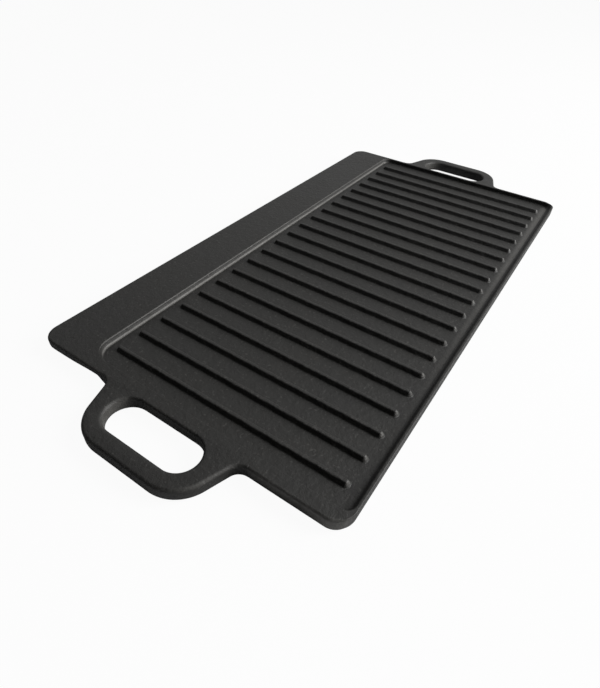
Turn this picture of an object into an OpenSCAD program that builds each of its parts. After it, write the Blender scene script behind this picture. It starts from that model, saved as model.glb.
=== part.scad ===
// Cast-iron camp griddle plate: a ridged pan with a wide flat ledge along one long side, a low rim
// round the other three sides, a loop handle at each end and a flat rimmed face underneath.
// The real plate is one casting. Its features are the nodes here, and they meet face to face.
// X runs along the plate, Y towards the ledge and Z up, from under the middle of the plate.
// Sections are drawn with their first coordinate running inwards from the plate's edge.

/* [Plate] */
// Length of the plate without its handles
plate_l = 434; // [340:1:540]
// Width of the plate with its ledge
plate_w = 233; // [190:1:280]
// Corner radius of the plate, seen from above
corner_r = 12; // [10:0.5:16]
// Radius of the plate's upper edge
edge_r = 1.75; // [1:0.25:2]
// Radius of the plate's lower edge
lower_edge_r = 1; // [0.5:0.25:2]
// Radius of the lower edge round the ledge
ledge_edge_r = 3.5; // [2:0.5:3.5]
// Thickness of the iron under the ridges
web_t = 4.5; // [3.5:0.25:8]

/* [Pan] */
// Depth of the ridged pan below the rim
pan_d = 4; // [3:0.25:5]
// Width of the far rim and of the side rim at the pan's floor
rim_w = 4; // [4:0.25:6]
// Width of the near rim at the pan's floor
near_rim_w = 10; // [7:0.5:14]
// Width of the flat ledge at the pan's floor
ledge_w = 40; // [25:0.5:60]
// Radius of the pan's two far corners
far_corner_r = 8; // [6:0.5:12]
// Radius of the pan's near corner at the ledge
near_ledge_corner_r = 13; // [6:0.5:16]
// Radius of the pan's near corner at the side rim
near_side_corner_r = 5; // [4:0.5:8]
// Lean of the pan's walls from upright, in degrees
wall_lean = 14; // [5:1:16]
// Radius of the rounded lip of the pan's walls
lip_r = 0.9; // [0.5:0.1:1]
// Radius of the fillet at the foot of the pan's walls
root_r = 1.2; // [0.6:0.1:1.5]

/* [Ridges] */
// Number of ridges across the pan
ridge_count = 21; // [11:1:27]
// Height of a ridge above the pan's floor
ridge_h = 3; // [2:0.25:4]
// Width of a ridge at the pan's floor
ridge_base_w = 5.6; // [4.5:0.1:8]
// Width of the flat on top of a ridge
ridge_flat_w = 1.4; // [0.6:0.1:2.2]
// Radius of a ridge's upper edges
ridge_edge_r = 0.9; // [0.4:0.1:1]
// Space between the ends of a ridge and the pan's walls
ridge_margin = 6.75; // [5:0.25:14]
// Space between the near wall and the middle of the first ridge
near_gap = 14.2; // [10:0.1:24]
// Space between the middle of the last ridge and the far wall
far_gap = 20.2; // [10:0.1:24]

/* [Handles] */
// Reach of a handle beyond the end of the plate
handle_reach = 36.5; // [34:0.5:44]
// Width of a handle over its two round corners
handle_w = 91; // [78:1:108]
// Thickness of a handle
handle_t = 9.5; // [7:0.25:11]
// Width of the handle's bar, seen from above
bar_w = 11.25; // [9:0.25:14]
// Length of a finger slot
slot_l = 66.5; // [54:0.5:70]
// Outer corner radius of a handle
handle_corner_r = 25; // [20:0.5:27]
// Angle at which a handle's arms spread towards the plate, in degrees
arm_flare = 18.5; // [5:0.5:24]
// Radius of the fillets between a handle's arms and the plate
arm_fillet_r = 7.5; // [4:0.5:12]
// Radius of a handle's long edges
bar_edge_r = 2.25; // [1:0.25:3]
// Offset of the handles from the middle of the plate, towards the ledge
handle_shift = -1.5; // [-6:0.5:6]

/* [Underside] */
// Height of the rim round the flat underside
foot_h = 3.5; // [3:0.25:8]
// Width of that rim where it joins the plate
foot_w = 4; // [3:0.25:4.5]
// Inset of that rim from the plate's edge
foot_inset = 1; // [0.5:0.25:2]
// Taper of each side of that rim over its height
foot_taper = 0.6; // [0.2:0.1:0.8]
// Radius of that rim's lower edges
foot_edge_r = 0.8; // [0.4:0.1:0.9]
// Open stretch of the underside at the ledge, where that rim stops
run_off_w = 66; // [50:1:90]

/* [Hidden] */
// Straight pieces that stand for a quarter circle in a section
ARC_STEPS = 5;
$fn = 64;
// How far a cutter stands clear of what it cuts
CLEAR = 1;
// Straight stretch of border that a corner takes with it
CORNER_RUN = 2;
IRON = [0.13, 0.13, 0.125];

half_l = plate_l / 2;
half_w = plate_w / 2;
web_z = foot_h;
floor_z = web_z + web_t;
top_z = floor_z + pan_d;

// The sides of the pan's floor
pan_near_x = -half_l + near_rim_w;
pan_far_x = half_l - rim_w;
pan_side_y = -half_w + rim_w;
pan_ledge_y = half_w - ledge_w;

ridge_start_y = pan_side_y + ridge_margin;
ridge_end_y = pan_ledge_y - ridge_margin;
ridge_pitch = (pan_far_x - far_gap - pan_near_x - near_gap) / (ridge_count - 1);

handle_z = top_z - handle_t;
// Middle of the handle's round corners, from the plate and from the middle of the handle
handle_turn_l = handle_reach - handle_corner_r;
handle_turn_y = handle_w / 2 - handle_corner_r;
// Where the line of an arm would meet the plate, and where its fillet runs out on the plate
arm_y = handle_turn_y + handle_turn_l * tan(arm_flare) + handle_corner_r / cos(arm_flare);
root_half_w = arm_y + arm_fillet_r * tan(45 - arm_flare / 2);
// The finger slot: its full round ends, and their middles from the middle of the handle
slot_r = (handle_reach - bar_w) / 2;
slot_turn_y = slot_l / 2 - slot_r;

// Points of an arc about c, from angle a0 to a1
function arc(c, r, a0, a1) =
    [for (i = [0:ARC_STEPS]) let (a = a0 + (a1 - a0) * i / ARC_STEPS) c + r * [cos(a), sin(a)]];

// The plate's outer edge in section, up from the underside and over onto the top.
// low_r is the radius of its lower edge.
function plate_edge(low_r) = concat(
    arc([low_r, web_z + low_r], low_r, 270, 180),
    arc([edge_r, top_z - edge_r], edge_r, 180, 90)
);

// The plate's outer edge where a handle grows out of it: a plain upright face
function handle_edge() = [[0, web_z], [0, top_z]];

// A wall of the pan in section, from the top over the lip and down to the floor.
// The wall's own line meets the floor at 0.
function pan_wall() =
    let (
        lip_u = -(lip_r + sin(wall_lean) * (pan_d - lip_r)) / cos(wall_lean),
        root_u = root_r * (1 - sin(wall_lean)) / cos(wall_lean)
    )
    concat(
        arc([lip_u, top_z - lip_r], lip_r, 90, wall_lean),
        arc([root_u, floor_z + root_r], root_r, 180 + wall_lean, 270),
        [[0, floor_z]]
    );

// A plain stretch of plate in section: an outer edge and a flat top of width w
module edge_section(w, edge) {
    polygon(concat(edge, [[w, top_z], [w, web_z]]));
}

// The space of the pan and its floor in section, which reaches in over a width w from the pan's wall
module pan_section(w) {
    lip_u = pan_wall()[0][0];
    low = web_z - CLEAR;
    high = top_z + CLEAR;
    polygon(concat([[lip_u, high]], pan_wall(), [[0, low], [w, low], [w, high]]));
}

// A border of the pan in section: an outer edge, and the pan's wall at a width w
module border_section(w, edge) {
    difference() {
        edge_section(w + root_r, edge);
        translate([w, 0]) pan_section(root_r + CLEAR);
    }
}

// The rim under the plate in section
module foot_section() {
    lower_w = foot_w - 2 * foot_taper;
    translate([foot_inset + foot_taper, 0])
        polygon(concat(
            [[-foot_taper, web_z]],
            arc([foot_edge_r, foot_edge_r], foot_edge_r, 180, 270),
            arc([lower_w - foot_edge_r, foot_edge_r], foot_edge_r, 270, 360),
            [[lower_w + foot_taper, web_z]]
        ));
}

// Carries a section along the end of the plate at -X, from y0 to y1
module along_end(y0, y1) {
    translate([-half_l, y1, 0]) rotate([90, 0, 0]) linear_extrude(y1 - y0) children();
}

// Carries a section along the side of the plate at -Y, from x0 to x1
module along_side(x0, x1) {
    translate([x0, -half_w, 0]) rotate([90, 0, 90]) linear_extrude(x1 - x0) children();
}

// Carries a section round the corner of the plate at -X and -Y
module round_corner() {
    translate([-half_l + corner_r, -half_w + corner_r, 0])
        rotate(180) rotate_extrude(angle = 90) translate([corner_r, 0]) mirror([1, 0]) children();
}

// The same feature at the other end of the plate
module far_end() {
    mirror([1, 0, 0]) children();
}

// What a round corner of radius r takes off a square one at [0, 0]
module corner_waste(r) {
    difference() {
        square(r);
        translate([r, r]) circle(r);
    }
}

// The flat web under the ridges, with the pan's four round corners
module pan_floor() {
    color(IRON) translate([0, 0, web_z]) linear_extrude(web_t) difference() {
        translate([pan_near_x, pan_side_y]) square([pan_far_x - pan_near_x, pan_ledge_y - pan_side_y]);
        translate([pan_near_x, pan_side_y]) corner_waste(near_side_corner_r);
        translate([pan_near_x, pan_ledge_y]) mirror([0, 1]) corner_waste(near_ledge_corner_r);
        translate([pan_far_x, pan_side_y]) mirror([1, 0]) corner_waste(far_corner_r);
        translate([pan_far_x, pan_ledge_y]) rotate(180) corner_waste(far_corner_r);
    }
}

// How far the corner of a border reaches along it, where the border across has the width w
function corner_reach(w, r) = max(corner_r, w + r) + CORNER_RUN;

// The plate's corner at -X and -Y, hollowed by a corner of the pan of radius r.
// end_w and side_w are the widths of the borders along the plate's end and along its side.
module border_corner(end_w, side_w, r, low_r) {
    reach_x = corner_reach(end_w, r);
    reach_y = corner_reach(side_w, r);
    edge = plate_edge(low_r);
    difference() {
        union() {
            round_corner() edge_section(corner_r, edge);
            along_end(-half_w + corner_r, -half_w + reach_y) edge_section(reach_x, edge);
            along_side(-half_l + corner_r, -half_l + reach_x) edge_section(corner_r, edge);
        }
        translate([-half_l + end_w + r, -half_w + side_w + r, 0])
            rotate(180) rotate_extrude(angle = 90) translate([r, 0]) mirror([1, 0]) pan_section(r);
        along_end(-half_w + side_w + r, -half_w + reach_y + CLEAR)
            translate([end_w, 0]) pan_section(reach_x);
        along_side(-half_l + end_w + r, -half_l + reach_x + CLEAR)
            translate([side_w, 0]) pan_section(reach_y);
    }
}

// The wide flat ledge beside the pan, with the step down to the pan's floor and two of the pan's corners
module ledge() {
    near_reach = corner_reach(near_rim_w, near_ledge_corner_r);
    far_reach = corner_reach(rim_w, far_corner_r);
    color(IRON) mirror([0, 1, 0]) {
        along_side(-half_l + near_reach, half_l - far_reach)
            border_section(ledge_w, plate_edge(ledge_edge_r));
        border_corner(near_rim_w, ledge_w, near_ledge_corner_r, ledge_edge_r);
        far_end() border_corner(rim_w, ledge_w, far_corner_r, ledge_edge_r);
    }
}

// The rim of width w along one end of the plate, with its corner at the side rim.
// It is left upright and unrounded where the handle grows out of it.
module end_rim(w, side_corner_r, ledge_corner_r) {
    start_y = -half_w + corner_reach(rim_w, side_corner_r);
    end_y = half_w - corner_reach(ledge_w, ledge_corner_r);
    root_start_y = handle_shift - root_half_w;
    root_end_y = min(end_y, handle_shift + root_half_w);
    border_corner(w, rim_w, side_corner_r, lower_edge_r);
    along_end(start_y, root_start_y) border_section(w, plate_edge(lower_edge_r));
    along_end(root_start_y, root_end_y) border_section(w, handle_edge());
    if (root_end_y < end_y)
        along_end(root_end_y, end_y) border_section(w, plate_edge(ledge_edge_r));
}

module near_rim() {
    color(IRON) end_rim(near_rim_w, near_side_corner_r, near_ledge_corner_r);
}

module far_rim() {
    color(IRON) far_end() end_rim(rim_w, far_corner_r, far_corner_r);
}

module side_rim() {
    near_reach = corner_reach(near_rim_w, near_side_corner_r);
    far_reach = corner_reach(rim_w, far_corner_r);
    color(IRON) along_side(-half_l + near_reach, half_l - far_reach)
        border_section(rim_w, plate_edge(lower_edge_r));
}

// A handle in section, from the middle of its round corner outwards, with round outer edges
module loop_section() {
    edge_u = handle_corner_r - bar_edge_r;
    polygon(concat(
        [[0, handle_z]],
        arc([edge_u, handle_z + bar_edge_r], bar_edge_r, 270, 360),
        arc([edge_u, top_z - bar_edge_r], bar_edge_r, 0, 90),
        [[0, top_z]]
    ));
}

// The finger slot in section, from its middle line outwards, with mouths that round off its edges
module slot_section() {
    mouth_r = slot_r + bar_edge_r;
    polygon(concat(
        [[0, handle_z - CLEAR], [mouth_r, handle_z - CLEAR]],
        arc([mouth_r, handle_z + bar_edge_r], bar_edge_r, 270, 180),
        arc([mouth_r, top_z - bar_edge_r], bar_edge_r, 180, 90),
        [[mouth_r, top_z + CLEAR], [0, top_z + CLEAR]]
    ));
}

// The oblong finger slot between a handle and the plate
module finger_slot() {
    translate([-half_l - slot_r, 0, 0]) {
        for (side = [0, 1]) {
            mirror([0, side, 0]) translate([0, slot_turn_y, 0]) rotate_extrude() slot_section();
            mirror([side, 0, 0]) translate([0, slot_turn_y, 0])
                rotate([90, 0, 0]) linear_extrude(2 * slot_turn_y) slot_section();
        }
    }
}

// A quarter or less of the fillet between an arm and the plate, hollow towards its own middle at [0, 0].
// It reaches over the corner that it fills, and runs on to the arm's flat top and underside.
module arm_fillet() {
    core = arm_fillet_r / sin(45 + arm_flare / 2) + bar_edge_r;
    rotate_extrude(angle = 90 - arm_flare)
        polygon(concat(
            arc([arm_fillet_r + bar_edge_r, handle_z + bar_edge_r], bar_edge_r, 180, 270),
            [[core, handle_z], [core, top_z]],
            arc([arm_fillet_r + bar_edge_r, top_z - bar_edge_r], bar_edge_r, 90, 180)
        ));
}

// One arm of a handle on the +Y side, with its fillet and its round corner.
// The arm runs on into the plate, and the slot is still to be cut.
module handle_arm() {
    arm_l = (handle_turn_l + handle_corner_r * sin(arm_flare)) / cos(arm_flare) + CLEAR;
    translate([-half_l - handle_turn_l, handle_turn_y, 0]) rotate(arm_flare) {
        rotate([90, 0, 90]) linear_extrude(arm_l) loop_section();
        rotate(90) rotate_extrude(angle = 90 - arm_flare) loop_section();
    }
    translate([-half_l - arm_fillet_r, root_half_w, 0]) rotate(arm_flare - 90) arm_fillet();
}

// A loop handle: two arms and the bar between them, round an oblong finger slot
module handle() {
    translate([0, handle_shift, 0]) difference() {
        union() {
            for (side = [0, 1]) mirror([0, side, 0]) handle_arm();
            translate([-half_l - handle_turn_l, handle_turn_y, 0])
                rotate([90, 0, 0]) linear_extrude(2 * handle_turn_y) mirror([1, 0]) loop_section();
        }
        finger_slot();
        translate([-half_l, -root_half_w - CLEAR, handle_z - CLEAR])
            cube([handle_reach, 2 * (root_half_w + CLEAR), handle_t + 2 * CLEAR]);
    }
}

module near_handle() {
    color(IRON) handle();
}

module far_handle() {
    color(IRON) far_end() handle();
}

// The rim under one end of the plate. It slopes up into the plate where it stops short of the ledge.
module end_foot() {
    stop_y = half_w - run_off_w;
    round_corner() foot_section();
    intersection() {
        along_end(-half_w + corner_r, stop_y) foot_section();
        along_side(-half_l, 0)
            polygon([[0, 0], [stop_y + half_w - foot_h, 0], [stop_y + half_w, web_z], [0, web_z]]);
    }
}

module near_foot() {
    color(IRON) end_foot();
}

module far_foot() {
    color(IRON) far_end() end_foot();
}

module side_foot() {
    color(IRON) along_side(-half_l + corner_r, half_l - corner_r) foot_section();
}

// Half of a ridge in section, from its middle outwards: a flat, a round edge and a sloping side
function ridge_half() =
    let (
        edge_u = ridge_flat_w / 2,
        edge_z = ridge_h - ridge_edge_r,
        run = ridge_base_w / 2 - edge_u,
        reach = norm([run, edge_z]),
        // Angle at which the side leaves the round edge towards the ridge's base
        side = acos(ridge_edge_r / reach) - atan2(edge_z, run)
    )
    concat([[0, 0], [0, ridge_h]], arc([edge_u, edge_z], ridge_edge_r, 90, side), [[ridge_base_w / 2, 0]]);

// One ridge across the pan, with round ends
module ridge(i) {
    ridge_x = pan_near_x + near_gap + (i - 1) * ridge_pitch;
    start_y = ridge_start_y + ridge_base_w / 2;
    end_y = ridge_end_y - ridge_base_w / 2;
    color(IRON) translate([ridge_x, 0, floor_z]) {
        translate([0, end_y, 0]) {
            rotate([90, 0, 0]) linear_extrude(end_y - start_y) {
                polygon(ridge_half());
                mirror([1, 0]) polygon(ridge_half());
            }
            rotate_extrude(angle = 180) polygon(ridge_half());
        }
        translate([0, start_y, 0]) rotate(180) rotate_extrude(angle = 180) polygon(ridge_half());
    }
}

function ridge_name(i) = str("ridge_", i < 10 ? "0" : "", i);

pan_floor();
ledge();
near_rim();
far_rim();
side_rim();
near_handle();
far_handle();
near_foot();
far_foot();
side_foot();
for (i = [1:ridge_count]) ridge(i);
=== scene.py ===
# %% [markdown]
# A cast-iron camp griddle plate on a white table
#
# The real plate is one pour of iron: a ridged pan, a flat ledge beside it, a low rim, two loop
# handles and a rim under the plate. The solids of the frame give its places and sizes. Here each
# feature gets a smooth skin over its solid, and all of them share one finish, so that the plate
# reads as a single casting again.

# %% Load the frame
import math

import bmesh
import bpy
import numpy as np
from mathutils import Matrix, Vector


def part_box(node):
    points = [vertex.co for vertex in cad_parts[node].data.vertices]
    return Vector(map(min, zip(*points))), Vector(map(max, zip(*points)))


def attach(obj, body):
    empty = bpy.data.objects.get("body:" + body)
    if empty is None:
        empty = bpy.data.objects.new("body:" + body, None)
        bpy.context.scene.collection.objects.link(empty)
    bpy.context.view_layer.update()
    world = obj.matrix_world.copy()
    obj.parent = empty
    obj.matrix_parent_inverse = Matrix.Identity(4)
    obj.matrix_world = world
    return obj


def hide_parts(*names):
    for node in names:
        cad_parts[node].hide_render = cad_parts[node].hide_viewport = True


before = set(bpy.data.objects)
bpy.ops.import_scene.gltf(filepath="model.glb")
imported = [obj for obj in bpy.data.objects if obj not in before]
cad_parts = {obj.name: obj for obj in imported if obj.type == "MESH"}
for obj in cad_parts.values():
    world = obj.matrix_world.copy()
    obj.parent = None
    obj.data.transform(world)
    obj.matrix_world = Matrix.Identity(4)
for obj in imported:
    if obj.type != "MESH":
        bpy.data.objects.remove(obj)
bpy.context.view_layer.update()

MM = 0.001
BODY = "root"
print("solids in the frame:", len(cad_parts))

# %% [markdown]
# Lines that close on themselves
#
# Seen from above, the plate is a rectangle with round corners, and so is its pan. Such a line can be
# drawn as a curve object and bevelled, but then its section would be the same all the way round.
# Here the line is kept as arrays: the middle of the corner at each station, the radius there and the
# outward direction. A line at any depth inside it is then one sum, even where the depth varies.

# %% A rounded rectangle, kept as arrays
CORNER_STEPS, SIDE_STEPS = 14, 140


def heading(angle):
    """Unit vectors [cos, sin] at these angles."""
    return np.stack([np.cos(angle), np.sin(angle)], -1)


def rounded_loop(low, high, radii):
    """Stations round a rectangle from corner low to corner high, counter-clockwise, -Y side first.
    A station is middle + radius * direction. Along a side, middle and radius run evenly from one
    corner's to the next, and round a corner the direction turns by a quarter.
    radii are those of the corners at far -Y, far +Y, near +Y and near -Y, where near is -X."""
    radii = np.array(radii, float)
    place = np.array([[high[0], low[1]], [high[0], high[1]], [low[0], high[1]], [low[0], low[1]]])
    corner = place + radii[:, None] * np.array([[-1, 1], [-1, -1], [1, -1], [1, 1]])
    share = np.linspace(0, 1, SIDE_STEPS, endpoint=False)
    turn = np.linspace(0, 1, CORNER_STEPS, endpoint=False)
    middle, radius, angle = [], [], []
    for i in range(4):
        middle += [corner[i - 1] + (corner[i] - corner[i - 1]) * share[:, None],
                   np.repeat(corner[i][None], CORNER_STEPS, 0)]
        radius += [radii[i - 1] + (radii[i] - radii[i - 1]) * share, np.full(CORNER_STEPS, radii[i])]
        angle += [np.full(SIDE_STEPS, i - 1), i - 1 + turn]
    return np.concatenate(middle), np.concatenate(radius), heading(np.concatenate(angle) * np.pi / 2)


def inside(loop, depth):
    """The loop's points moved inwards: middle + (radius - depth) * direction."""
    middle, radius, out = loop
    return middle + (radius - depth)[..., None] * out


around = np.ones(4 * (SIDE_STEPS + CORNER_STEPS))
print("stations round a line:", len(around))

# %% [markdown]
# From a grid of points to a mesh
#
# Every skin here is a grid: rows that follow each other over the section, and stations that go round
# and close. bmesh could make the faces one by one, but joining neighbours by index gives all the quads
# at once. The first and the last row are flat, so one face closes each. A number per point comes along
# as an attribute: how much the black is rubbed off there and how much highlight is painted on there,
# which the finish uses for wear and for painted highlights.

# %% A grid becomes a piece
def skin(name, grid, edge):
    """A closed mesh from grid[row, station, xyz] in metres: quads between neighbouring rows and
    stations, and a flat face on the first and on the last row. edge[row, station], the wear together
    with the painted highlights, is kept as the attribute edge."""
    rows, stations = grid.shape[:2]
    at = np.arange(rows * stations).reshape(rows, stations)
    onward = np.roll(at, -1, axis=1)
    quads = np.stack([at[:-1], onward[:-1], onward[1:], at[1:]], -1).reshape(-1, 4)
    caps = [at[0][::-1].tolist(), at[-1].tolist()]
    mesh = bpy.data.meshes.new(name)
    mesh.from_pydata(grid.reshape(-1, 3), [], quads.tolist() + caps)
    shell = bmesh.new()
    shell.from_mesh(mesh)
    bmesh.ops.recalc_face_normals(shell, faces=shell.faces)
    shell.to_mesh(mesh)
    shell.free()
    wear = mesh.attributes.new("edge", "FLOAT", "POINT")
    wear.data.foreach_set("value", edge.ravel().astype(np.float32))
    mesh.polygons.foreach_set("use_smooth", np.ones(len(mesh.polygons), bool))
    mesh.update()
    piece = bpy.data.objects.new(name, mesh)
    bpy.context.scene.collection.objects.link(piece)
    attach(piece, BODY)
    return piece


# %% [markdown]
# The plate
#
# The plate is the largest feature: underside, rim underneath, outer edge, flat top, pan wall and pan
# floor. It could be a box with bevels and insets, but the four borders of the pan have different
# widths, and the edges change from side to side. So its section is a list of rows from the middle of
# the underside round to the pan's floor, and each row is a closed line. The outer rows are measured
# from the plate's outline, and the inner rows from the outline of the pan.

# %% Places from the solids, and the two outlines
PLATE_CORNER = 12 * MM
# Corners of the pan at far -Y, far +Y, near +Y and near -Y
PAN_CORNERS = np.array([8, 8, 13, 5]) * MM

near_x, far_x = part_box("near_rim")[0].x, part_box("far_rim")[1].x
side_y, ledge_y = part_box("side_rim")[0].y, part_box("ledge")[1].y
top_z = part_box("ledge")[1].z
pan_low, pan_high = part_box("pan_floor")
under_z, floor_z = pan_low.z, pan_high.z

plate_line = rounded_loop((near_x, side_y), (far_x, ledge_y), [PLATE_CORNER] * 4)
pan_line = rounded_loop(pan_low, pan_high, PAN_CORNERS)
print("plate %.0f x %.0f mm, pan %.0f x %.0f mm" % (
    (far_x - near_x) / MM, (ledge_y - side_y) / MM,
    (pan_high.x - pan_low.x) / MM, (pan_high.y - pan_low.y) / MM))

# %% The lower edge, which softens round the ledge and most of all beside the near handle
LOW_R, LEDGE_LOW_R, SCOOP_R = 1 * MM, 4 * MM, 2.7 * MM
SCOOP_Y, SCOOP_HALF = 63 * MM, 18 * MM
# The softening sets in this far before the end of the handle's fillet
SOFT_LEAD = 1 * MM


def ramp(value, start, stop):
    """0 before start, 1 after stop and an S-shaped rise between them: 3 t^2 - 2 t^3."""
    t = np.clip((value - start) / (stop - start), 0, 1)
    return t * t * (3 - 2 * t)


plate_x, plate_y = inside(plate_line, 0 * around).T
fillet_stop, ledge_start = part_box("near_handle")[1].y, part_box("ledge")[0].y
near_end = 1 - ramp(plate_x, near_x, near_x + PLATE_CORNER)
scoop = near_end * np.exp(-((plate_y - SCOOP_Y) / SCOOP_HALF) ** 2)
by_ledge = ramp(plate_y, fillet_stop - SOFT_LEAD, ledge_start)
low_r = LOW_R + by_ledge * (LEDGE_LOW_R - LOW_R + SCOOP_R * scoop)
print("lower edge radius %.1f to %.1f mm" % (low_r.min() / MM, low_r.max() / MM))

# %% The rim under the plate: it fades into the underside where it stops short of the ledge
FOOT_INSET, FOOT_W, FOOT_TAPER, FOOT_R = 1 * MM, 4 * MM, 0.6 * MM, 0.8 * MM
# A row at this share of the rim's height eases its inner side into the underside
FOOT_EASE = 0.92
ARC_STEPS = 6


def arc(centre, r, start, stop, steps):
    """Points [across, up] of an arc: centre + r * [cos, sin] at angles from start to stop, in degrees."""
    a = np.radians(np.linspace(start, stop, steps + 1))
    return np.stack([centre[0] + r * np.cos(a), centre[1] + r * np.sin(a)], -1)


foot_in, foot_out = FOOT_INSET + FOOT_W - FOOT_TAPER, FOOT_INSET + FOOT_TAPER
foot_section = np.concatenate([
    [[foot_in + 3 * FOOT_TAPER, under_z], [foot_in + 2 * FOOT_TAPER, under_z]],
    [[foot_in + FOOT_TAPER, FOOT_EASE * under_z]],
    arc((foot_in - FOOT_R, FOOT_R), FOOT_R, 0, -90, ARC_STEPS),
    arc((foot_out + FOOT_R, FOOT_R), FOOT_R, -90, -180, ARC_STEPS),
    [[FOOT_INSET, under_z]],
])
foot_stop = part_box("near_foot")[1].y
foot_fade = 2 * under_z
foot_on = ramp(foot_stop - plate_y, 0, foot_fade)
foot_depth = foot_section[:, :1] + (low_r - LOW_R)
foot_height = under_z - foot_on * (under_z - foot_section[:, 1:])
print("rim underneath %.1f mm high, fading over %.1f mm" % (under_z / MM, foot_fade / MM))

# %% The outer edge, from the underside to the flat top, sharper along the right-hand side
EDGE_R, RIGHT_EDGE_R = 1.75 * MM, 0.5 * MM
# What belongs to one straight side fades in from this share of its direction on
STRAIGHT = 0.5
# A row this close to a rounding keeps the flat beside it evenly shaded
BESIDE = 0.12 * MM


def on_side(loop, x, y, start=0):
    """1 along the side of a loop that looks along [x, y], falling to 0 round the corners beside it: a
    ramp of the outward direction's part along [x, y], from start to 1."""
    return ramp(loop[2] @ np.array([x, y]), start, 1)


low_turn = np.radians(np.linspace(270, 180, ARC_STEPS + 1))[:, None]
low_depth = low_r * (1 + np.cos(low_turn))
low_height = under_z + low_r * (1 + np.sin(low_turn))
edge_r = EDGE_R + (RIGHT_EDGE_R - EDGE_R) * on_side(plate_line, 0, -1, STRAIGHT)
upper_turn = np.radians(np.linspace(180, 90, ARC_STEPS + 1))[:, None]
upper_depth = edge_r * (1 + np.cos(upper_turn))
upper_height = top_z - edge_r * (1 - np.sin(upper_turn))
edge_depth = np.concatenate([foot_depth, low_depth[1:], upper_depth, [edge_r + BESIDE]])
edge_height = np.concatenate([foot_height, low_height[1:], upper_height, [top_z * around]])
print("rows of the outer edge:", len(edge_depth))

# %% [markdown]
# The wall of the pan
#
# A cast wall leans, so that the pattern comes out of the sand. Its lip is rounded, and a fillet joins
# it to the floor. The Bevel modifier would round all four walls alike, but here they differ: the near
# lip is almost sharp, the step down from the ledge has a wide fillet, and the right-hand wall leans
# most. So lip, lean and fillet are arrays with a number for each station, and the numbers of one wall
# turn into those of the next round the corner between them.

# %% Lip, lean and fillet at each station
LIP_R, NEAR_LIP_R, RIGHT_LIP_R = 0.9 * MM, 0.3 * MM, 1.2 * MM
WALL_LEAN, RIGHT_LEAN = math.radians(14), math.radians(30)
ROOT_R, STEP_ROOT_R, RIGHT_ROOT_R = 1.2 * MM, 1.7 * MM, 2.3 * MM

at_near_wall, at_right_wall = on_side(pan_line, -1, 0), on_side(pan_line, 0, -1)
at_step = on_side(pan_line, 0, 1, STRAIGHT)
lip_r = LIP_R + (NEAR_LIP_R - LIP_R) * at_near_wall + (RIGHT_LIP_R - LIP_R) * at_right_wall
root_r = ROOT_R + (STEP_ROOT_R - ROOT_R) * at_step + (RIGHT_ROOT_R - ROOT_R) * at_right_wall
lean = WALL_LEAN + (RIGHT_LEAN - WALL_LEAN) * at_right_wall
print("lip of the pan %.1f to %.1f mm, lean %.0f to %.0f degrees" % (
    lip_r.min() / MM, lip_r.max() / MM, np.degrees(lean.min()), np.degrees(lean.max())))

# %% The rows of the wall, from its lip down to the margin of the floor
# Two more rows on the floor, as shares of the corner's radius, hold the margin beside the wall
MARGIN_SHARES = np.array([[0.5], [0.95]])

lip_u = -(lip_r + np.sin(lean) * (top_z - floor_z - lip_r)) / np.cos(lean)
root_u = root_r * (1 - np.sin(lean)) / np.cos(lean)
lip_turn = np.linspace(np.pi / 2 * around, lean, ARC_STEPS + 1)
root_turn = np.linspace(np.pi + lean, 1.5 * np.pi * around, ARC_STEPS + 1)
wall_depth = np.concatenate([
    [lip_u - BESIDE],
    lip_u + lip_r * np.cos(lip_turn),
    root_u + root_r * np.cos(root_turn),
    [root_u + BESIDE],
    MARGIN_SHARES * pan_line[1],
])
wall_height = np.concatenate([
    [top_z * around],
    top_z - lip_r * (1 - np.sin(lip_turn)),
    floor_z + root_r * (1 + np.sin(root_turn)),
    [floor_z * around] * (1 + len(MARGIN_SHARES)),
])
plate_rows = np.concatenate([
    np.concatenate([inside(plate_line, edge_depth), edge_height[..., None]], -1),
    np.concatenate([inside(pan_line, wall_depth), wall_height[..., None]], -1),
])
print("rows of the plate:", len(plate_rows))

# %% [markdown]
# Where the plate is rubbed, and where light is painted on
#
# Hands, scrapers and shelves rub the black off, first along the edges. Wear could be painted onto the
# vertices by hand, or guessed from the shape by the Pointiness of the Geometry node. Here every row is
# known, so it is written down: most in the middle of a rounding, and more at the near end to the
# right of the handle. The same numbers paint light: a painted highlight along the lip and the fillet
# of the step, and a painted sheen on the floor's margin beside the right-hand wall, brighter towards
# the far end.

# %% Wear of the plate's rows, with painted highlights and sheen
# Besides wear, these paint a highlight on the step's lip and fillet and a sheen on the floor's margin
EDGE_RUB, LIP_RUB, STEP_LIP_HIGHLIGHT, STEP_ROOT_HIGHLIGHT, MARGIN_SHEEN = 0.15, 0.15, 0.7, 0.98, 0.75
# Distances to the right of the middle, over which the wear of the near end and of its corner sets in
END_RUB_Y, CORNER_RUB_Y = (45 * MM, 75 * MM), (90 * MM, 110 * MM)
# What is left at the top of a rounding that is rubbed from below, and how much painted highlight the
# whole of the step's fillet has at least
TOP_SHARE, FILLET_SHARE = 0.1, 0.3

mid_wear_and_highlight = np.sin(np.linspace(0, np.pi, ARC_STEPS + 1))[:, None]
low_wear_and_highlight = np.linspace(1, TOP_SHARE, ARC_STEPS + 1)[:, None]
end_wear = near_end * ramp(-plate_y, *END_RUB_Y)
pan_x = inside(pan_line, 0 * around)[:, 0]

upper_rows = slice(len(edge_depth) - ARC_STEPS - 2, len(edge_depth) - 1)
lip_rows = slice(len(edge_depth) + 1, len(edge_depth) + 2 + ARC_STEPS)
root_rows = slice(lip_rows.stop, lip_rows.stop + ARC_STEPS + 1)
margin_rows = slice(root_rows.stop, root_rows.stop + len(MARGIN_SHARES))

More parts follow.
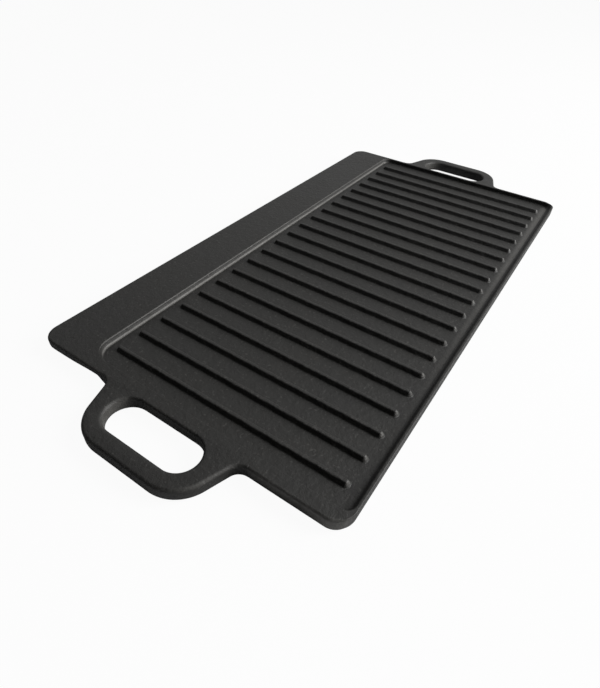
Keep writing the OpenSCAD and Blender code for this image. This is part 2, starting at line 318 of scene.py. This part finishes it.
plate_edge = np.zeros(plate_rows.shape[:2])
plate_edge[upper_rows.start - 1] = near_end * ramp(-plate_y, *CORNER_RUB_Y)
plate_edge[upper_rows] = np.maximum(EDGE_RUB * mid_wear_and_highlight, end_wear * low_wear_and_highlight)
# Along the step, the lip gets a painted highlight on top of its wear
plate_edge[lip_rows] = mid_wear_and_highlight * (LIP_RUB * (1 - at_near_wall) + (STEP_LIP_HIGHLIGHT - LIP_RUB) * at_step)
# A painted highlight along the step's fillet
plate_edge[root_rows] = STEP_ROOT_HIGHLIGHT * at_step * (FILLET_SHARE + mid_wear_and_highlight)
# A painted sheen on the floor's margin beside the right-hand wall, brighter towards the far end
plate_edge[margin_rows] = MARGIN_SHEEN * at_right_wall * ramp(pan_x, near_x, far_x / 2)
plate = skin("plate", plate_rows, plate_edge)
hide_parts("pan_floor", "ledge", "near_rim", "far_rim", "side_rim",
            "near_foot", "far_foot", "side_foot")
print("plate:", len(plate.data.polygons), "faces")

# %% [markdown]
# The loop handles
#
# A handle is a flat loop with rounded edges that grows out of the plate's end over two fillets. It
# could be a bevelled curve, but the bar and the arms have different widths. So two lines are carried
# along together: the outline of the finger slot and the outline of the handle. Between them hangs
# the section, a flat band with a rounding on each edge. Its ends run a little into the plate.

# %% Sizes of a handle
HANDLE_R, BAR_W, SLOT_L = 25 * MM, 11.25 * MM, 66.5 * MM
ARM_FLARE, ARM_FILLET_R = math.radians(18.5), 7.5 * MM
BAR_EDGE_R, ROOT_EDGE_R = 2.25 * MM, 1.7 * MM

handle_low, handle_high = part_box("near_handle")
reach = near_x - handle_low.x
handle_y = (handle_low.y + handle_high.y) / 2
handle_bottom = handle_low.z
root_y = (handle_high.y - handle_low.y) / 2
arm_y = root_y - ARM_FILLET_R * math.tan(math.pi / 4 - ARM_FLARE / 2)
turn_x = reach - HANDLE_R
turn_y = arm_y - turn_x * math.tan(ARM_FLARE) - HANDLE_R / math.cos(ARM_FLARE)
slot_r = (reach - BAR_W) / 2
slot_y = SLOT_L / 2 - slot_r
print("handle %.1f mm wide at its corners, %.1f mm at the plate" % (
    2 * (turn_y + HANDLE_R) / MM, 2 * root_y / MM))

# %% The two outlines of a handle, from the middle of its bar to the plate
BAR_STEPS, TURN_STEPS, FLANK_STEPS, FILLET_STEPS = 8, 24, 10, 16


def half_outlines():
    """Stations [out from the plate, along its end] of slot and handle over half a handle, with the
    normals that point from the slot into the iron and from the handle into the air, and the radius of
    the edges. Both lines run straight along the bar. At the corner the slot turns by a quarter, and the
    handle by a quarter less the flare. Then the slot turns by another quarter, while the handle runs
    straight along its flank and turns back through the fillet. A point of an arc is middle + radius *
    normal, or middle - radius * normal in the hollow of the fillet."""
    bar = np.linspace(0, 1, BAR_STEPS, endpoint=False)
    corner = np.linspace(0, 1, TURN_STEPS, endpoint=False)
    flank = np.linspace(0, 1, FLANK_STEPS, endpoint=False)
    fillet = np.linspace(0, 1, FILLET_STEPS + 1)
    root = np.linspace(0, 1, FLANK_STEPS + FILLET_STEPS + 1)
    into = heading(np.concatenate([0 * bar, corner, 1 + root]) * np.pi / 2)
    along = np.concatenate([bar, 1 + 0 * corner, 1 + 0 * root])
    slot = np.stack([slot_r + 0 * along, slot_y * along], -1) + slot_r * into
    spread = np.pi / 2 - ARM_FLARE
    away = heading(spread * np.concatenate([0 * bar, corner, 1 + 0 * flank, 1 - fillet]))
    turn = np.array([turn_x, turn_y])
    hollow = np.array([ARM_FILLET_R, root_y])
    flank_start = turn + HANDLE_R * heading(spread)
    flank_stop = hollow - ARM_FILLET_R * heading(spread)
    outer = np.concatenate([
        np.stack([reach + 0 * bar, turn_y * bar], -1),
        turn + HANDLE_R * heading(spread * corner),
        flank_start + (flank_stop - flank_start) * flank[:, None],
        hollow - ARM_FILLET_R * heading(spread * (1 - fillet)),
    ])
    radius = np.concatenate([np.full(BAR_STEPS + TURN_STEPS, BAR_EDGE_R),
                             BAR_EDGE_R + (ROOT_EDGE_R - BAR_EDGE_R) * ramp(root, 0, 1)])
    return slot, into, outer, away, radius


# %% The section that hangs between the outlines
# The ends go this deep into the plate, and keep this share of the thickness there
SINK, SUNK_SHARE = 0.3 * MM, 0.8


def handle_rows():
    """Rows over the length of a handle, stations round its section. A rounding moves in from its
    outline by radius * (1 - cos) along the normal while it rises by radius * sin."""
    slot, into, outer, away, radius = half_outlines()
    turn = np.radians(np.linspace(0, 90, ARC_STEPS + 1))[None, :, None]
    r = radius[:, None, None]
    rise = np.sin(turn) * r
    slot_edge = slot[:, None] + into[:, None] * r * (1 - np.cos(turn))
    outer_edge = outer[:, None] + away[:, None] * r * (np.cos(turn) - 1)
    top = np.concatenate([slot_edge, outer_edge[:, ::-1]], 1)
    height = np.concatenate([rise, rise[:, ::-1]], 1) - r
    upper_side = np.concatenate([top, top_z + height], -1)
    lower_side = np.concatenate([top[:, ::-1], (handle_bottom - height)[:, ::-1]], -1)
    section = np.concatenate([upper_side, lower_side], 1)
    middle = (top_z + handle_bottom) / 2
    end = section[-1:].copy()
    end[..., 0] = -ROOT_EDGE_R - SINK
    end[..., 2] = middle + SUNK_SHARE * (end[..., 2] - middle)
    half = np.concatenate([section, end])
    other = half[:0:-1] * np.array([1, -1, 1])
    return np.concatenate([other, half])


local = handle_rows()
print("handle: %d rows of %d stations" % local.shape[:2])

# %% Both handles, with a painted highlight at the left end of the slot, and wear and a painted highlight along the right arm
ARM_WEAR_AND_HIGHLIGHT, SLOT_END_HIGHLIGHT = 0.5, 0.6
# Distances along the plate's end, and out from it, over which these marks set in
ARM_MARK_Y, SLOT_LIT_Y, SLOT_LIT_X = (20 * MM, 40 * MM), (16 * MM, 28 * MM), (0, 6 * MM)

out_x, along_y = local[:, :1, 0], local[:, :1, 1]
slot_end_lit = ramp(along_y, *SLOT_LIT_Y) * ramp(out_x, *SLOT_LIT_X)
# A painted highlight on the left end wall of the slot, where the lamp and the lit table fall on it
slot_wall_highlight = SLOT_END_HIGHLIGHT * slot_end_lit * low_wear_and_highlight.T
# Along the right arm, which faces the lamp, wear and a painted highlight
arm_wear_and_highlight_rows = ARM_WEAR_AND_HIGHLIGHT * ramp(-along_y, *ARM_MARK_Y) * mid_wear_and_highlight.T
handle_marks = np.concatenate([slot_wall_highlight, arm_wear_and_highlight_rows, 0 * arm_wear_and_highlight_rows, slot_wall_highlight[:, ::-1]], 1)
ends = {"near_handle": (near_x, -1), "far_handle": (far_x, 1)}
handles = []
for node, (end_x, way) in ends.items():
    rows = np.stack([end_x + way * local[..., 0], handle_y + local[..., 1], local[..., 2]], -1)
    handles.append(skin(node.replace("_", "_loop_"), rows, handle_marks))
    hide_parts(node)
print("handles: slot %.1f x %.1f mm" % (2 * (slot_y + slot_r) / MM, 2 * slot_r / MM))

# %% [markdown]
# The ridges
#
# A ridge lies across the pan with a round end on either side. Its sides lean, so that the pattern
# comes out of the sand, and a small fillet joins it to the floor. A swept curve would pinch its
# ends, so the section is carried round a long oval line instead: two half circles and two straights.
# No sand-cast flank is quite straight, so each one strays a little, in its own waves.

# %% The section of a ridge, from the floor up
RIDGE_FLAT, RIDGE_EDGE_R, RIDGE_ROOT_R, RIDGE_SUNK = 0.8 * MM, 1.2 * MM, 0.8 * MM, 0.3 * MM

ridge_nodes = sorted(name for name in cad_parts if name.startswith("ridge_"))
first_low, first_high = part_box(ridge_nodes[0])
half_base, ridge_h = (first_high.x - first_low.x) / 2, first_high.z - first_low.z

# The flank touches the upper rounding and would meet the floor at half_base
edge_u, edge_z = RIDGE_FLAT / 2, ridge_h - RIDGE_EDGE_R
flank_lean = math.degrees(math.acos(RIDGE_EDGE_R / math.hypot(half_base - edge_u, edge_z))
                          - math.atan2(edge_z, half_base - edge_u))
tangent = RIDGE_ROOT_R * math.tan(math.radians(90 - flank_lean) / 2)
ridge_section = np.concatenate([
    [[half_base + tangent, -RIDGE_SUNK]],
    arc((half_base + tangent, RIDGE_ROOT_R), RIDGE_ROOT_R, 270, 180 + flank_lean, ARC_STEPS),
    arc((edge_u, edge_z), RIDGE_EDGE_R, flank_lean, 90, ARC_STEPS),
    [[edge_u - BESIDE, ridge_h]],
])
print("ridge %.1f mm high, flanks leaning %.0f degrees" % (ridge_h / MM, flank_lean))

# %% An oval line, and how the flanks stray from it
END_STEPS, RUN_STEPS = 18, 60
# Most that a flank strays, the length of its waves, and that of the shorter ones as a share
WANDER, WAVE, SHORT_WAVE = 0.2 * MM, 17 * MM, 0.37
# Turns of the waves, in radians, from one ridge to the next and from its middle to a flank
RIDGE_SHIFT, FLANK_SHIFT = 1.9, 1.3


def oval(y0, y1):
    """Middles and outward directions round a long oval: a half circle at each end of the line y0 to y1,
    and straights between them."""
    turn = np.linspace(0, np.pi, END_STEPS + 1)
    run = np.linspace(y1, y0, RUN_STEPS + 1)[1:-1]
    straight = np.ones(len(run))
    angle = np.concatenate([turn, np.pi * straight, np.pi + turn, 2 * np.pi * straight])
    middle_y = np.concatenate([np.full(len(turn), y1), run, np.full(len(turn), y0), run[::-1]])
    return np.stack([0 * middle_y, middle_y], -1), heading(angle)


def wander(y, flank, ridge):
    """How far a flank strays: WANDER / 2 * (a long wave + a short wave) along y. Both waves shift with
    the flank, from -1 to 1 across the ridge, and with the ridge's number."""
    shift = RIDGE_SHIFT * ridge + FLANK_SHIFT * flank
    long_turn, short_turn = 2 * np.pi * y / WAVE, 2 * np.pi * y / (SHORT_WAVE * WAVE)
    return WANDER / 2 * (np.sin(long_turn + shift) + np.sin(short_turn - 2 * shift))


print("flanks stray up to %.1f mm" % (WANDER / MM))

# %% The ridges, with a painted highlight at their right-hand ends
RIDGE_RUB, RIDGE_END_HIGHLIGHT = 0.05, 0.95
# An end's painted highlight is full above this share of the height, and sets in between these parts of
# its outward direction to the right
END_FULL, END_WAY = 1 / 3, (0.2, 0.9)

top_wear = np.zeros(len(ridge_section))
top_wear[-ARC_STEPS - 2:] = np.linspace(0, 1, ARC_STEPS + 2)
end_highlight_rows = np.clip(ridge_section[:, 1] / (END_FULL * ridge_h), 0, 1) * (1 - top_wear)
ridges = []
for index, node in enumerate(ridge_nodes):
    low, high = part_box(node)
    middle, out = oval(low.y + half_base, high.y - half_base)
    across = ridge_section[:, :1] + wander(middle[:, 1], out[:, 0], index)
    plan = middle + across[..., None] * out + np.array([(low.x + high.x) / 2, 0])
    height = np.broadcast_to(floor_z + ridge_section[:, 1:], plan.shape[:2])
    rows = np.concatenate([plan, height[..., None]], -1)
    right_end = ramp(-out[:, 1], *END_WAY)
    # A little wear on the tops, and a painted highlight on the right-hand ends
    ridge_marks = RIDGE_RUB * top_wear[:, None] + RIDGE_END_HIGHLIGHT * end_highlight_rows[:, None] * right_end
    ridges.append(skin(node.replace("ridge_", "ridge_bar_"), rows, ridge_marks))
    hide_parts(node)
print("ridges:", len(ridges))

# %% [markdown]
# The finish
#
# Seasoned iron is black oil baked onto a sand-cast skin. Up close the skin is grainy, the gloss is
# soft and uneven, and small specks and rubbed places are paler and warmer. The same paler colour also
# stands for painted highlights and sheen. An image could hold this, but a pattern worked out from the
# position has no seams and fits every piece. To write that pattern as sums, a small class wraps a
# socket, so that plus and times add the Math nodes.

# %% Sockets with arithmetic
class Field:
    """A number that varies over the surface. Arithmetic on it adds Math nodes to its material."""

    def __init__(self, tree, socket=None):
        self.tree, self.socket = tree, socket

    def node(self, kind, settings=None, sockets=None, output=0):
        """Adds a node: its settings first, then its sockets, which take a value or another field."""
        made = self.tree.nodes.new(kind)
        for name, value in (settings or {}).items():
            setattr(made, name, value)
        for name, value in (sockets or {}).items():
            if isinstance(value, Field):
                self.tree.links.new(value.socket, made.inputs[name])
            else:
                made.inputs[name].default_value = value
        return Field(self.tree, made.outputs[output])

    def math(self, operation, first, second):
        """Adds a Math node on two values, at least one of them a field."""
        return self.node("ShaderNodeMath", {"operation": operation}, {0: first, 1: second})

    def __add__(self, other):
        return self.math("ADD", self, other)

    def __sub__(self, other):
        return self.math("SUBTRACT", self, other)

    def __rsub__(self, other):
        return self.math("SUBTRACT", other, self)

    def __mul__(self, other):
        return self.math("MULTIPLY", self, other)

    __radd__, __rmul__ = __add__, __mul__


# %% Colours, sizes and strengths of the finish
IRON_DEEP, IRON_PALE = (0.004, 0.004, 0.004, 1), (0.013, 0.0122, 0.010, 1)
# Paler iron where it is worn, also the colour of the painted highlights and sheen
IRON_WORN_AND_LIT = (0.126, 0.122, 0.114, 1)
IRON_GLOSS = 0.45
# Sizes of the patterns in mm, from the grain of the sand to patches of oil
GRAIN_MM, SPECK_MM, LUMP_MM, SWELL_MM, PATCH_MM = 0.6, 1.7, 2.2, 6, 30
# Heights of the relief in mm
GRAIN_RISE, LUMP_RISE, SWELL_RISE = 0.15, 0.3, 0.45
# Shares of grain and patches in the black, and of wear and painted highlights in the colour
GRAIN_TONE, PATCH_TONE, WORN_AND_LIT_TONE = 0.4, 0.6, 0.9
# Shares of the edge attribute, wear and painted highlights, that are even, in patches and in lumps
MARK_EVEN, MARK_PATCHES, MARK_LUMPS = 0.1, 0.7, 0.5
# Only the peaks of a pattern are specks, and these are rubbed by so much
SPECK_FROM, SPECK_TO, SPECK_RUB = 0.68, 0.8, 0.35
# Roughness: its least value, what patches and grain add and what wear and painted highlights take off
ROUGH_LOW, ROUGH_PATCHES, ROUGH_GRAIN, ROUGH_MARKED = 0.50, 0.14, 0.1, 0.08


def blend(factor, first, second):
    """What a Mix node needs to blend two colours: its setting, its colour sockets and its output."""
    return {"data_type": "RGBA"}, {0: factor, 6: first, 7: second}, 2


# %% Seasoned iron
def seasoned_iron():
    """Black that varies with grain and patches, paler where worn, specked or given a painted highlight,
    over a bumpy relief.
    """
    material = bpy.data.materials.new("seasoned_iron")
    material.use_nodes = True
    tree = material.node_tree
    tree.nodes.clear()
    make = Field(tree).node
    place = make("ShaderNodeTexCoord", output="Object")

    def noise(size_mm, detail=2.0, roughness=0.5):
        """A cloudy pattern from 0 to 1 whose blobs are about this large."""
        return make("ShaderNodeTexNoise", {}, {"Vector": place, "Scale": 1 / (size_mm * MM),
                                               "Detail": detail, "Roughness": roughness})

    grain, lumps, swells = noise(GRAIN_MM), noise(LUMP_MM), noise(SWELL_MM)
    patches = noise(PATCH_MM, detail=4.0, roughness=0.6)
    edge = make("ShaderNodeAttribute", {"attribute_name": "edge"}, {}, "Fac")
    speck = make("ShaderNodeMapRange", {}, {"Value": noise(SPECK_MM, detail=0.0),
                                            "From Min": SPECK_FROM, "From Max": SPECK_TO})
    # Wear and painted highlights from the edge attribute, and random specks
    rubbed_and_lit = edge * (MARK_EVEN + MARK_PATCHES * patches + MARK_LUMPS * lumps) + SPECK_RUB * speck * patches
    black = make("ShaderNodeMix", *blend(GRAIN_TONE * grain + PATCH_TONE * patches, IRON_DEEP, IRON_PALE))
    colour = make("ShaderNodeMix", *blend(WORN_AND_LIT_TONE * rubbed_and_lit, black, IRON_WORN_AND_LIT))
    relief = GRAIN_RISE * grain + LUMP_RISE * lumps + SWELL_RISE * swells
    bump = make("ShaderNodeBump", {}, {"Height": relief, "Strength": 1.0, "Distance": MM}, "Normal")
    rough = ROUGH_LOW + ROUGH_PATCHES * patches + ROUGH_GRAIN * grain - ROUGH_MARKED * rubbed_and_lit
    look = {"Base Color": colour, "Roughness": rough, "Normal": bump, "Specular IOR Level": IRON_GLOSS}
    shader = make("ShaderNodeBsdfPrincipled", {}, look, "BSDF")
    tree.links.new(shader.socket, tree.nodes.new("ShaderNodeOutputMaterial").inputs["Surface"])
    return material


iron = seasoned_iron()
for piece in [plate, *handles, *ridges]:
    piece.data.materials.append(iron)
print("nodes in the finish:", len(iron.node_tree.nodes))

# %% [markdown]
# The white table
#
# The plate lies in plain white surroundings with hardly a shadow. More light would bleach the table,
# but it would bleach the iron too. So the table is a pale surface that the camera sees mostly as
# plain white, while for all other light it stays a surface that the plate shades. Gloss gets only a
# trace of the plain white, because the lamp already brightens the table that it mirrors.

# %% What kind of ray meets the table
def ray(make, *kinds):
    """1 for a ray of any of these kinds, and 0 for all other light: the maximum of the Light Path
    outputs."""
    is_one = make("ShaderNodeLightPath", output=kinds[0])
    for kind in kinds[1:]:
        is_one = is_one.math("MAXIMUM", is_one, make("ShaderNodeLightPath", output=kind))
    return is_one


# %% The table
TABLE_HALF, TABLE_GAP = 6.0, 0.2 * MM
TABLE_PALE = (0.65, 0.65, 0.65, 1)
# Shares of plain white for the camera and glass, and for gloss
TABLE_WHITE, TABLE_SHINE = 0.95, 0.05


def white_table():
    """Pale and matt, mixed with an even white: mostly for the camera and glass, a little for gloss."""
    material = bpy.data.materials.new("white_table")
    material.use_nodes = True
    tree = material.node_tree
    tree.nodes.clear()
    make = Field(tree).node
    pale = make("ShaderNodeBsdfDiffuse", {}, {"Color": TABLE_PALE})
    white = make("ShaderNodeEmission", {}, {"Strength": 1.0})
    seen = TABLE_WHITE * ray(make, "Is Camera Ray", "Is Transmission Ray")
    mirrored = TABLE_SHINE * ray(make, "Is Glossy Ray")
    both = make("ShaderNodeMixShader", {}, {0: seen + mirrored, 1: pale, 2: white})
    tree.links.new(both.socket, tree.nodes.new("ShaderNodeOutputMaterial").inputs["Surface"])
    return material


table_corners = np.array([[-1, -1, 0], [1, -1, 0], [1, 1, 0], [-1, 1, 0]]) * TABLE_HALF
table_mesh = bpy.data.meshes.new("table")
table_mesh.from_pydata(table_corners - np.array([0, 0, TABLE_GAP]), [], [(0, 1, 2, 3)])
table_mesh.materials.append(white_table())
table = bpy.data.objects.new("table", table_mesh)
bpy.context.scene.collection.objects.link(table)
print("table %.0f m wide" % (2 * TABLE_HALF))

# %% [markdown]
# The room
#
# Black iron looks like what it mirrors. In an evenly white room it would turn grey all over. In this
# one only the wall beyond the plate is bright, and behind the camera it is dark. The sides of the
# ridges that look at the camera mirror the dark and stay black. A picture of a room could light the
# scene, but one direction and a soft step are enough. The camera itself sees white everywhere.

# %% A bright wall beyond the plate
WALL_WAY = Vector((0.70, 0.10, 0.75))
WALL_FROM, WALL_TO = 0.1, 0.95
AIR_STRENGTH, WALL_STRENGTH = 0.3, 0.83

world = bpy.data.worlds.new("white_room")
bpy.context.scene.world = world
world.use_nodes = True
air = Field(world.node_tree)
direction = air.node("ShaderNodeTexCoord", output="Generated")
facing = air.node("ShaderNodeVectorMath", {"operation": "DOT_PRODUCT"},
                  {0: direction, 1: WALL_WAY.normalized()}, "Value")
bright = air.node("ShaderNodeMapRange", {"interpolation_type": "SMOOTHSTEP"},
                  {"Value": facing, "From Min": WALL_FROM, "From Max": WALL_TO})
lit = bright * (AIR_STRENGTH + (WALL_STRENGTH - AIR_STRENGTH) * ray(air.node, "Is Glossy Ray"))
strength = air.math("MAXIMUM", lit, ray(air.node, "Is Camera Ray", "Is Transmission Ray"))
background = world.node_tree.nodes["Background"]
background.inputs["Color"].default_value = (1, 1, 1, 1)
world.node_tree.links.new(strength.socket, background.inputs["Strength"])
print("room: bright beyond the plate, dark behind the camera")

# %% [markdown]
# Light
#
# One soft lamp, taller than wide, stands low on the right and a little beyond the middle. A Sun lamp
# would draw hard shadows. A large area lamp brightens the step down from the ledge and the right ends
# of the ridges softly, and leaves the near sides of the ridges dark, which makes them read.

# %% The soft lamp
LAMP_TURN, LAMP_RISE, LAMP_DISTANCE = math.radians(-65), math.radians(31), 1.6
LAMP_WIDTH, LAMP_TALL, LAMP_WATTS = 0.8, 1.2, 44

lamp_way = Vector((math.cos(LAMP_TURN) * math.cos(LAMP_RISE),
                   math.sin(LAMP_TURN) * math.cos(LAMP_RISE), math.sin(LAMP_RISE)))
lamp_data = bpy.data.lights.new("soft_lamp", "AREA")
lamp_data.shape, lamp_data.size, lamp_data.size_y = "RECTANGLE", LAMP_WIDTH, LAMP_TALL
lamp_data.energy = LAMP_WATTS
lamp = bpy.data.objects.new("soft_lamp", lamp_data)
lamp.location = lamp_way * LAMP_DISTANCE
lamp.rotation_euler = lamp_way.to_track_quat("Z", "Y").to_euler()
bpy.context.scene.collection.objects.link(lamp)
bpy.context.scene.view_settings.view_transform = "Standard"
print("lamp %.1f m away" % LAMP_DISTANCE)

# %% [markdown]
# The camera
#
# The photograph was taken from close by, above the near handle, which is why the plate narrows so
# much towards the far one. Place and angles could be tried by hand in the camera view, but they were
# worked out from the plate's straight edges instead. A short lens there gives the same lines.

# %% The camera's place and direction
CAMERA_AT = Vector((-324.67, -152.54, 227.29)) * MM
CAMERA_TURN, CAMERA_DOWN, CAMERA_ROLL = map(math.radians, (31.897, 41.958, 3.348))
# The focal length in pixels of a picture this high, whose height the sensor's millimetres span
FOCAL_PIXELS, PICTURE_HEIGHT, SENSOR = 482.95, 688, 36
CLIP_START = 0.01

forward = Vector((math.cos(CAMERA_TURN) * math.cos(CAMERA_DOWN),
                  math.sin(CAMERA_TURN) * math.cos(CAMERA_DOWN), -math.sin(CAMERA_DOWN)))
level = Vector((math.sin(CAMERA_TURN), -math.cos(CAMERA_TURN), 0))
upright = level.cross(forward)
right = math.cos(CAMERA_ROLL) * level + math.sin(CAMERA_ROLL) * upright
up = math.cos(CAMERA_ROLL) * upright - math.sin(CAMERA_ROLL) * level

camera_data = bpy.data.cameras.new("camera")
camera_data.sensor_width = SENSOR
camera_data.lens = FOCAL_PIXELS * SENSOR / PICTURE_HEIGHT
camera_data.clip_start = CLIP_START
camera = bpy.data.objects.new("camera", camera_data)
turned = Matrix((right, up, -forward)).transposed().to_4x4()
camera.matrix_world = Matrix.Translation(CAMERA_AT) @ turned
bpy.context.scene.collection.objects.link(camera)
bpy.context.scene.camera = camera
print("lens %.1f mm" % camera_data.lens)
